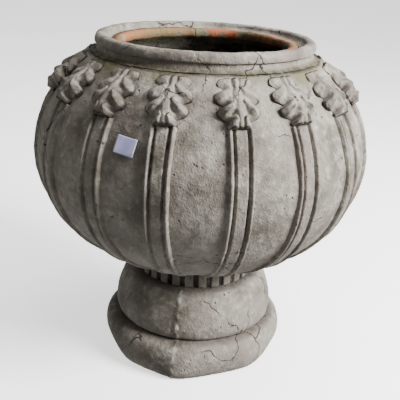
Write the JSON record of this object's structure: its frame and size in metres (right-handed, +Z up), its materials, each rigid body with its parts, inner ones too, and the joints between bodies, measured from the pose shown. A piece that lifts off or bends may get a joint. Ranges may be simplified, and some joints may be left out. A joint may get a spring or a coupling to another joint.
{
  "type": "garden vase",
  "caption": "Round hollow garden vase in grey-washed terracotta: rolled collar, leaves and reed bundles round the bowl, and a short bell-shaped foot.",
  "frame": {"origin": "middle of the base, on the floor", "axes": "+Z up along the axis the vase was turned on, -Y towards the front, +X to the right seen from the front"},
  "size_m": [0.3242, 0.3232, 0.3257],
  "materials": {
    "bowl_clay": "matt, weathered grey wash",
    "rim_clay": "matt, weathered grey wash",
    "foot_clay": "matt, weathered grey wash",
    "relief_clay": "matt, weathered grey wash",
    "mortar": "rough lime mortar",
    "label_paper": "matt, blank"
  },
  "bodies": {
    "root": {"foot_plinth": "foot_clay", "foot_bell": "foot_clay", "neck_ring": "foot_clay", "mortar_bed": "mortar", "bowl": "bowl_clay", "rim_collar": "rim_clay", "price_label": "label_paper", "leaf_01": "relief_clay", "leaf_02": "relief_clay", "leaf_03": "relief_clay", "leaf_04": "relief_clay", "leaf_05": "relief_clay", "leaf_06": "relief_clay", "leaf_07": "relief_clay", "leaf_08": "relief_clay", "leaf_09": "relief_clay", "leaf_10": "relief_clay", "leaf_11": "relief_clay", "leaf_12": "relief_clay", "leaf_13": "relief_clay", "leaf_14": "relief_clay", "leaf_15": "relief_clay", "leaf_16": "relief_clay", "reeds_01": "relief_clay", "reeds_02": "relief_clay", "reeds_03": "relief_clay", "reeds_04": "relief_clay", "reeds_05": "relief_clay", "reeds_06": "relief_clay", "reeds_07": "relief_clay", "reeds_08": "relief_clay", "reeds_09": "relief_clay", "reeds_10": "relief_clay", "reeds_11": "relief_clay", "reeds_12": "relief_clay", "reeds_13": "relief_clay", "reeds_14": "relief_clay", "reeds_15": "relief_clay", "reeds_16": "relief_clay"}
  },
  "joints": []
}
